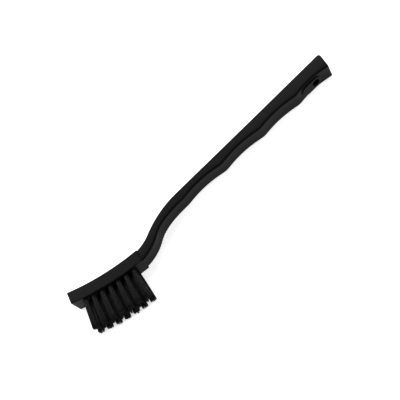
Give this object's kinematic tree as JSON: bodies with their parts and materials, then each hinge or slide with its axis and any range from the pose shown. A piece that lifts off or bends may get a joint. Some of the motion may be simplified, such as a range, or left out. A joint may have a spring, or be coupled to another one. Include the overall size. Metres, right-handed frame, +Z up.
{
  "type": "anti-static brush",
  "caption": "Long slim cleaning brush with a finger-scalloped one-piece handle, an S-bent neck and an arched head carrying staggered rows of stiff dark tufts.",
  "frame": {"origin": "bottom centre of the box of the brush lying on its side, on the surface it rests on", "axes": "+X along the brush to the tail of the grip, +Y from the bristle tips to the back of the handle, +Z up, across the width of the brush"},
  "size_m": [0.1764, 0.0332, 0.0107],
  "materials": {
    "handle_plastic": "satin moulded black conductive plastic",
    "bristle": "drawn black conductive nylon",
    "anchor_metal": "rolled sheet"
  },
  "bodies": {
    "root": {"handle": "handle_plastic", "bristles_lower_row": "bristle", "bristles_middle_row": "bristle", "bristles_upper_row": "bristle", "anchor_lower_1": "anchor_metal", "anchor_lower_2": "anchor_metal", "anchor_lower_3": "anchor_metal", "anchor_lower_4": "anchor_metal", "anchor_lower_5": "anchor_metal", "anchor_lower_6": "anchor_metal", "anchor_lower_7": "anchor_metal", "anchor_middle_1": "anchor_metal", "anchor_middle_2": "anchor_metal", "anchor_middle_3": "anchor_metal", "anchor_middle_4": "anchor_metal", "anchor_middle_5": "anchor_metal", "anchor_middle_6": "anchor_metal", "anchor_upper_1": "anchor_metal", "anchor_upper_2": "anchor_metal", "anchor_upper_3": "anchor_metal", "anchor_upper_4": "anchor_metal", "anchor_upper_5": "anchor_metal", "anchor_upper_6": "anchor_metal", "anchor_upper_7": "anchor_metal"}
  },
  "joints": []
}
